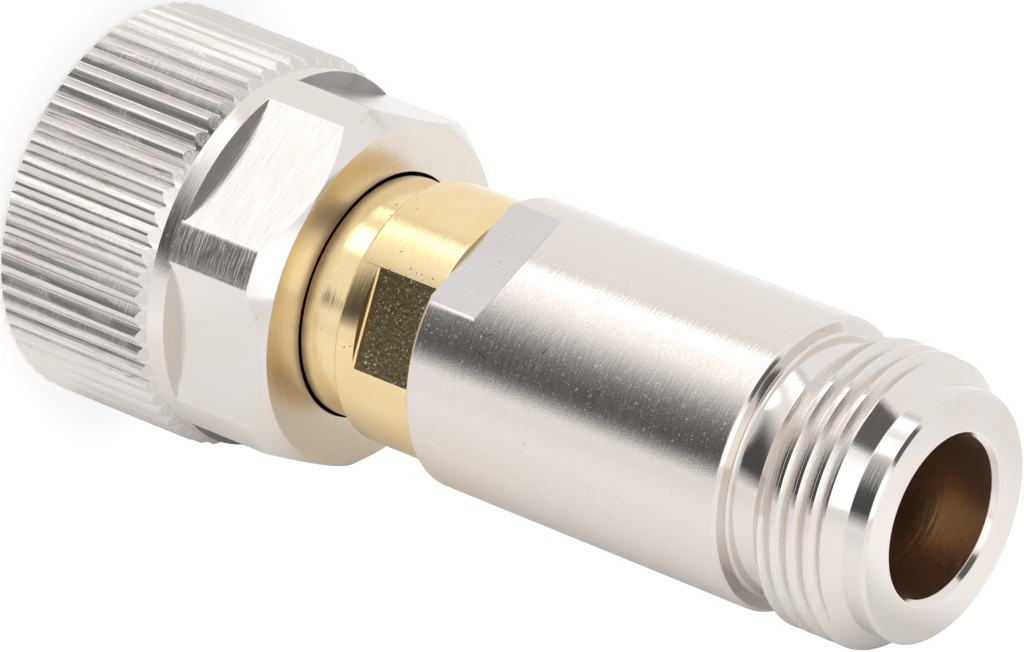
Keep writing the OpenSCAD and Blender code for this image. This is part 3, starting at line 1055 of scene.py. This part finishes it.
@dataclass
class SocketShell:
    """The silver barrel: two wrench flats, relief groove, outside thread, nose and bore."""

    barrel_r: float = 8.0
    tail_socket_r: float = 6.02
    tail_len: float = 6.05
    barrel_len: float = 20.3
    bevel: float = 0.2
    across_flats: float = 14.0
    flat_len: float = 3.15
    flat_slope: float = 40.0
    flat_edge: float = 0.18
    relief_r: float = 7.0
    relief_len: float = 2.7
    thread_r: float = 7.9375
    thread_len: float = 3.5
    thread_root_r: float = 7.375
    thread_start: float = 46.58
    lead_len: float = 1.05
    nose_r: float = 6.825
    nose_bevel: float = 0.2
    bore_r: float = 4.4
    bore_depth: float = 4.0
    bore_bevel: float = 0.3
    seat_r: float = 4.06
    seat_cone_len: float = 2.5
    seat_depth: float = 9.05
    line_r: float = 3.5
    low: float = field(init=False)
    top: float = field(init=False)

    def __post_init__(self) -> None:
        """Takes the ends from the frame."""
        self.low = bottom_mm("socket_shell")
        self.top = top_mm("socket_shell")

    def blank(self) -> bpy.types.Object:
        """Turns the barrel before flats and thread are cut.

        Returns:
            The turned blank.
        """
        shoulder = self.low + self.barrel_len
        thread_z = shoulder + self.relief_len
        lead_z = thread_z + self.thread_len
        bevel = self.bevel
        outline = [
            Corner(self.tail_socket_r, self.low), Corner(self.barrel_r - bevel, self.low, 0.06),
            Corner(self.barrel_r, self.low + bevel, 0.12),
            Corner(self.barrel_r, self.low + self.flat_len + 0.05),
            Corner(self.barrel_r, self.low + 1.5 * self.flat_len),
            Corner(self.barrel_r, shoulder - bevel, 0.12),
            Corner(self.barrel_r - bevel, shoulder, 0.06), Corner(self.relief_r, shoulder, 0.22),
            Corner(self.relief_r, thread_z - self.thread_r + self.relief_r, 0.10),
            Corner(self.thread_r, thread_z, 0.06), Corner(self.thread_r, lead_z, 0.10),
            Corner(self.nose_r, lead_z + self.lead_len, 0.08),
            Corner(self.nose_r, self.top - self.nose_bevel, 0.06),
            Corner(self.nose_r - self.nose_bevel, self.top, 0.06),
            Corner(self.bore_r + self.bore_bevel, self.top, 0.18),
            Corner(self.bore_r, self.top - self.bore_bevel, 0.12),
            Corner(self.bore_r, self.top - self.bore_depth),
            Corner(self.seat_r, self.top - self.bore_depth - self.seat_cone_len),
            Corner(self.seat_r, self.top - self.seat_depth), Corner(self.line_r, self.top - self.seat_depth),
            Corner(self.line_r, self.low + self.tail_len),
            Corner(self.tail_socket_r, self.low + self.tail_len)]
        return turned("threaded_barrel", outline, 192)

    def mill(self, shell: bpy.types.Object) -> None:
        """Mills both flats with their sloped ends, and breaks their long edges.

        Args:
            shell: The turned barrel.
        """
        half = self.across_flats / 2.0
        lean = math.degrees(math.acos(half / self.barrel_r)) / 2.0
        slant = math.radians(lean)
        broken = self.barrel_r * math.cos(slant) - self.flat_edge / 2.0 * math.tan(slant)
        end, depth = self.low + self.flat_len, self.barrel_r
        short = end - 0.1
        run_out = depth * math.tan(math.radians(self.flat_slope))
        for reach, turn, top in ((half, 0.0, end), (broken, -lean, short), (broken, lean, short)):
            mill_flats(shell, [Corner(reach, self.low - 1.0), Corner(reach + depth, self.low - 1.0),
                               Corner(reach + depth, top + run_out), Corner(reach, top)], 90.0 + turn)

    def build(self) -> None:
        """Makes the barrel, dresses it and hands it over."""
        shell = self.blank()
        shoulder = self.low + self.barrel_len
        self.mill(shell)
        thread = Thread(crest_r=self.thread_r, root_r=self.thread_root_r, root_w=0.15,
                        z0=self.thread_start, turns=6)
        cut_away(shell, thread.groove())
        root_r = self.thread_root_r - 0.075
        dress(shell, SATIN_BARREL, [
            (TURNED_NICKEL, lambda c, n: c.z > shoulder - 0.21 and radial(c) > self.bore_r),
            (THREAD_FLANK, lambda c, n: (c.z > shoulder + 2.0 and radial(c) > root_r
                                         and 0.8 < abs(n.z) < 0.95)),
            (BARREL_FLAT, lambda c, n: c.z < self.low + self.flat_len and abs(n.y) > 0.999),
            (BORE_BROWN, lambda c, n: radial(c) < self.bore_r + TOUCH and c.z > self.low + self.tail_len)])
        hand_over(shell, "socket_shell", Body.ADAPTER)


@dataclass
class PlugContacts:
    """The plug's inner parts: slotted outer contact, centre pin and sealing gasket."""

    sleeve_r: float = 4.0
    line_r: float = 3.5
    base_r: float = 4.58
    base_z: float = 10.6
    slot_w: float = 0.5
    slot_len: float = 6.5
    slot_turn: float = 45.0
    pin_r: float = 0.82
    core_r: float = 1.52
    stud_r: float = 0.9
    screw_r: float = 0.6
    screw_len: float = 3.0
    bead_t: float = 3.0
    shoulder_z: float = 6.83
    gasket_r: Point = (4.7, 6.6)

    def build_sleeve(self) -> None:
        """Makes the slotted outer contact."""
        low, high = bottom_mm("outer_contact"), top_mm("outer_contact")
        lip = (self.sleeve_r - self.line_r) / 3.0
        outline = [
            Corner(self.line_r + lip, low, 0.05), Corner(self.sleeve_r - lip, low, 0.05),
            Corner(self.sleeve_r, low + 2.0 * lip, 0.2), Corner(self.sleeve_r, self.base_z),
            Corner(self.base_r, self.base_z, 0.05), Corner(self.base_r, high), Corner(self.line_r, high),
            Corner(self.line_r, low + lip, 0.05)]
        sleeve = turned("spring_sleeve", outline, 128)
        saw_cut(sleeve, 2, self.slot_w, self.slot_turn, low - 1.0, low + self.slot_len, 2.0 * self.sleeve_r)
        dress(sleeve, CONTACT_GOLD)
        hand_over(sleeve, "outer_contact", Body.ADAPTER)

    def build_pin(self) -> None:
        """Makes the stepped centre pin."""
        low, high = bottom_mm("pin_contact"), top_mm("pin_contact")
        rod_z = high - self.screw_len
        bead_z = rod_z - self.bead_t
        bends = [i * math.pi / 16.0 for i in range(9)]
        tip = [Corner(self.pin_r * math.sin(bend), low + self.pin_r * (1.0 - math.cos(bend)))
               for bend in bends]
        outline = tip + [
            Corner(self.pin_r, self.shoulder_z, 0.05), Corner(self.core_r, self.shoulder_z, 0.10),
            Corner(self.core_r, bead_z), Corner(self.stud_r, bead_z), Corner(self.stud_r, rod_z),
            Corner(self.screw_r, rod_z), Corner(self.screw_r, high), Corner(0.0, high)]
        pin = turned("centre_pin", outline, 64)
        dress(pin, CONTACT_GOLD)
        hand_over(pin, "pin_contact", Body.ADAPTER)

    def build_gasket(self) -> None:
        """Makes the rubber ring on the plug body's front face."""
        low, high = bottom_mm("sealing_gasket"), top_mm("sealing_gasket")
        inner, outer = self.gasket_r
        outline = [Corner(inner, low, 0.2), Corner(outer, low, 0.3),
                   Corner(outer, high, 0.3), Corner(inner, high, 0.2)]
        gasket = turned("rubber_gasket", outline, 96)
        dress(gasket, GASKET_RUBBER)
        hand_over(gasket, "sealing_gasket", Body.ADAPTER)

    def build(self) -> None:
        """Makes all the parts that show in the plug's mouth."""
        self.build_sleeve()
        self.build_pin()
        self.build_gasket()


@dataclass
class InnerLine:
    """The inner line: two insulator beads, the slotted socket contact, and the hidden ring and rod."""

    bead_r: float = 4.58
    bore_r: float = 0.92
    recess_r: Point = (2.015, 3.005)
    recess: float = 0.35
    core_r: float = 1.52
    stud_r: float = 0.9
    screw_r: float = 0.6
    screw_len: float = 3.0
    bead_t: float = 3.0
    hole_r: float = 0.84
    hole_len: float = 5.0
    slot_w: float = 0.25
    slot_len: float = 4.5
    slot_turn: float = 45.0

    def build_bead(self, node: str, name: str) -> None:
        """Makes one insulator bead with a ring recess in both faces.

        Args:
            node: Name of the solid that it replaces.
            name: Name of the new piece.
        """
        low, high = bottom_mm(node), top_mm(node)
        foot, roof = low + self.recess, high - self.recess
        near, far = self.recess_r
        outline = [
            Corner(self.bore_r, low), Corner(near, low, 0.06), Corner(near, foot, 0.06),
            Corner(far, foot, 0.06), Corner(far, low, 0.06), Corner(self.bead_r, low, 0.08),
            Corner(self.bead_r, high, 0.08), Corner(far, high, 0.06), Corner(far, roof, 0.06),
            Corner(near, roof, 0.06), Corner(near, high, 0.06), Corner(self.bore_r, high)]
        bead = turned(name, outline, 96)
        dress(bead, BEAD_PLASTIC)
        hand_over(bead, node, Body.ADAPTER)

    def build_contact(self) -> None:
        """Makes the slotted centre contact of the socket."""
        low, high = bottom_mm("socket_contact"), top_mm("socket_contact")
        bead_z = low + self.screw_len
        clamp_z = bead_z + self.bead_t
        edge = (self.core_r - self.hole_r) / 3.0
        outline = [
            Corner(0.0, low), Corner(self.screw_r, low), Corner(self.screw_r, bead_z),
            Corner(self.stud_r, bead_z), Corner(self.stud_r, clamp_z), Corner(self.core_r, clamp_z),
            Corner(self.core_r, high - edge, 0.1),
            Corner(self.core_r - edge, high, 0.06), Corner(self.hole_r + edge, high, 0.06),
            Corner(self.hole_r, high - edge, 0.06), Corner(self.hole_r, high - self.hole_len),
            Corner(0.0, high - self.hole_len - self.hole_r)]
        contact = turned("slotted_contact", outline, 64)
        saw_cut(contact, 2, self.slot_w, self.slot_turn, high - self.slot_len, high + 1.0, 2.0 * self.core_r)
        dress(contact, CONTACT_GOLD)
        hand_over(contact, "socket_contact", Body.ADAPTER)

    def build(self, nodes: Mapping[str, bpy.types.Object]) -> None:
        """Makes the visible inner parts and dresses the hidden solids.

        Args:
            nodes: The frame's solids by name.
        """
        self.build_bead("plug_bead", "front_bead")
        self.build_bead("socket_bead", "rear_bead")
        self.build_contact()
        for node, finish in (("retaining_ring", SPRING_BRONZE), ("centre_rod", CONTACT_GOLD)):
            dress(nodes[node], finish)
            log.info("%s keeps its solid", node)


@dataclass(frozen=True)
class PhotoCamera:
    """The camera at the photograph's viewing angle. The picture is 1024 by 652 pixels."""

    azimuth: float = 33.3
    elevation: float = 32.9
    roll: float = 111.65
    target: Triple = (-0.462, -1.144, 26.0)
    distance: float = 624.3
    focal_px: float = 12000.0
    image_w_px: float = 1024.0
    sensor_w: float = 36.0

    def turn(self) -> Matrix:
        """Works out the camera's turn.

        Returns:
            A matrix whose columns are right, up and back.
        """
        level = Matrix.Rotation(math.radians(self.azimuth), 3, "Z")
        tilt = Matrix.Rotation(math.radians(90.0 - self.elevation), 3, "X")
        return level @ tilt @ Matrix.Rotation(math.radians(self.roll), 3, "Z")

    def build(self) -> None:
        """Adds the camera and makes it the scene's."""
        turn = self.turn()
        place = (Vector(self.target) + turn.col[2] * self.distance) * MM
        bpy.ops.object.camera_add(location=place, rotation=turn.to_euler())
        camera = bpy.context.object
        camera.name = "photo_camera"
        camera.data.sensor_width = self.sensor_w
        camera.data.lens = self.focal_px / self.image_w_px * self.sensor_w
        camera.data.clip_start = 0.01
        camera.data.clip_end = 20.0
        bpy.context.scene.camera = camera


@dataclass(frozen=True)
class Studio:
    """A white tent with a soft box, a lamp and a front light, a dark room behind its open side, and a table.

    Ways are in the camera's frame: right, up and back. An edge is where a soft step starts and ends. The
    table is where the photographed adapter lay, and only the metal sees it.
    """

    camera: PhotoCamera
    floor_size: float = 6000.0
    floor_colour: Colour = (0.92, 0.92, 0.92)
    floor_glow: float = 0.22
    room: float = 0.92
    room_low: Edge = (-0.24, 0.04)
    room_lean: Point = (0.866, 0.5)
    room_lean_edge: Edge = (-0.12, 0.22)
    room_right: Edge = (-0.30, -0.50)
    room_rise: float = 0.25
    room_near: Edge = (0.68, 0.58)
    gap: float = 0.86
    gap_way: Triple = (0.665, 0.30, 0.685)
    gap_edge: Edge = (0.955, 0.982)
    box_wide: tuple[float, Edge, Edge] = (0.55, (0.0, 0.04), (0.24, 0.07))
    box_core: tuple[float, Edge, Edge] = (0.8, (0.02, 0.05), (0.13, 0.08))
    box_low: Edge = (0.50, 0.65)
    box_right: Edge = (0.25, -0.05)
    seam: float = 0.26
    seam_back: float = 0.055
    seam_edge: Edge = (0.045, 0.015)
    seam_low: Edge = (0.60, 0.80)
    lamp: float = 1.3
    lamp_way: Triple = (-0.37, 0.80, 0.47)
    lamp_edge: Edge = (0.968, 0.99)
    front_light: float = 0.42
    front_way: Triple = (0.30, -0.22, 0.93)
    front_edge: Edge = (0.90, 0.985)
    table_size: float = 500.0
    table_up: Triple = (0.0, 0.9135, 0.4067)
    table_touch: Point = (10.9, 9.4)
    table_glow: float = 0.05
    table_front: tuple[float, Edge, Edge] = (0.17, (1.0, 11.0), (60.0, 10.0))
    table_back: tuple[float, Edge, Edge] = (0.26, (-1.5, -6.5), (-8.0, -24.0))
    table_fade: float = 0.8

    def build_world(self) -> None:
        """Paints the tent into the world. The camera sees plain white."""
        world = bpy.data.worlds.new("white_tent")
        bpy.context.scene.world = world
        world.use_nodes = True
        graph = Graph(world.node_tree)
        turn = self.camera.turn()
        way = graph.node("ShaderNodeTexCoord").outputs["Generated"]
        right, up, back = [graph.dot(way, tuple(turn.col[i])) for i in range(3)]
        gap, lamp, front = [graph.dot(way, tuple(turn @ Vector(aim)))
                            for aim in (self.gap_way, self.lamp_way, self.front_way)]
        # Each step is a soft edge in the tent. Right, up and back say how far a ray points each way.
        lean_back, lean_up = self.room_lean
        room = (graph.step(up, *self.room_low)
                * graph.step(back * lean_back - up * lean_up, *self.room_lean_edge)
                * graph.step(right, *self.room_right)
                * graph.step(back + up * self.room_rise, *self.room_near))
        wide, core = [strength * graph.step(back, *start) * graph.step(back, *end)
                      for strength, start, end in (self.box_wide, self.box_core)]
        soft_box = (wide + core) * graph.step(up, *self.box_low) * graph.step(right, *self.box_right)
        seam = graph.step(abs(back + self.seam_back), *self.seam_edge) * graph.step(up, *self.seam_low)
        tent = 1.0 - self.room * room - self.gap * graph.step(gap, *self.gap_edge) - self.seam * seam
        tent = tent + soft_box + self.lamp * graph.step(lamp, *self.lamp_edge)
        tent = tent + self.front_light * graph.step(front, *self.front_edge)
        seen = graph.number("ShaderNodeLightPath", {}, {}, "Is Camera Ray")
        strength = seen + (1.0 - seen) * tent
        light = graph.node("ShaderNodeBackground", {}, {"Color": WHITE, "Strength": strength})
        graph.node("ShaderNodeOutputWorld", {}, {"Surface": light.outputs["Background"]})

    def build_floor(self) -> None:
        """Lays the pale floor, which keeps the shadow and leaves the metal to reflect the tent."""
        bpy.ops.object.select_all(action="DESELECT")
        bpy.ops.mesh.primitive_plane_add(size=self.floor_size * MM)
        floor = bpy.context.object
        floor.name = "floor"
        material, graph = material_graph("pale_floor")
        matt = graph.node("ShaderNodeBsdfDiffuse", {}, {"Color": (*self.floor_colour, 1.0)})
        seen = graph.number("ShaderNodeLightPath", {}, {}, "Is Camera Ray")
        glow = graph.node("ShaderNodeEmission", {}, {"Color": WHITE, "Strength": seen * self.floor_glow})
        lit = graph.node("ShaderNodeAddShader", {}, {0: matt.outputs[0], 1: glow.outputs[0]})
        clear = graph.node("ShaderNodeBsdfTransparent")
        under = graph.node("ShaderNodeNewGeometry").outputs["Backfacing"]
        both = graph.node("ShaderNodeMixShader", {}, {0: under, 1: lit.outputs[0], 2: clear.outputs[0]})
        graph.node("ShaderNodeOutputMaterial", {}, {"Surface": both.outputs[0]})
        floor.data.materials.append(material)
        floor.visible_glossy = False
        floor.visible_shadow = False

    def build_table(self) -> None:
        """Lays the photograph's table along the adapter, for reflections only."""
        normal = self.camera.turn() @ Vector(self.table_up)
        reach, height = self.table_touch
        place = Vector((0.0, 0.0, height)) - normal * reach
        bpy.ops.object.select_all(action="DESELECT")
        bpy.ops.mesh.primitive_plane_add(size=self.table_size * MM, location=place * MM,
                                         rotation=normal.to_track_quat("Z", "Y").to_euler())
        bpy.ops.object.transform_apply(location=True, rotation=True, scale=True)
        table = bpy.context.object
        table.name = "reflected_table"
        material, graph = material_graph("table_paper")
        front = graph.dot(graph.place_mm(), tuple(Vector(UNIT_Z).cross(normal).normalized()))
        matt = graph.node("ShaderNodeBsdfDiffuse", {}, {"Color": (*self.floor_colour, 1.0)})
        near, near_start, near_end = self.table_front
        far, far_start, far_fade = self.table_back
        strength = (self.table_glow + near * graph.step(front, *near_start) * graph.step(front, *near_end)
                    + far * graph.step(front, *far_start)
                    * (1.0 - self.table_fade * graph.step(front, *far_fade)))
        glow = graph.node("ShaderNodeEmission", {}, {"Color": WHITE, "Strength": strength})
        lit = graph.node("ShaderNodeAddShader", {}, {0: matt.outputs[0], 1: glow.outputs[0]})
        graph.node("ShaderNodeOutputMaterial", {}, {"Surface": lit.outputs[0]})
        table.data.materials.append(material)
        table.visible_camera = False
        table.visible_diffuse = False
        table.visible_transmission = False
        table.visible_shadow = False

    def build(self) -> None:
        """Sets up the tent, the floor, the table and the plain colour transform."""
        bpy.context.scene.view_settings.view_transform = "Standard"
        self.build_world()
        self.build_floor()
        self.build_table()


def main() -> None:
    """Builds the adapter's looks, piece by piece."""
    logging.basicConfig(level=logging.INFO, format="%(name)s: %(message)s")
    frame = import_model()
    camera = PhotoCamera()
    camera.build()
    Studio(camera).build()
    CouplingNut().build()
    PlugBody().build()
    SocketShell().build()
    PlugContacts().build()
    InnerLine().build(frame["nodes"])


if __name__ == "__main__":
    main()
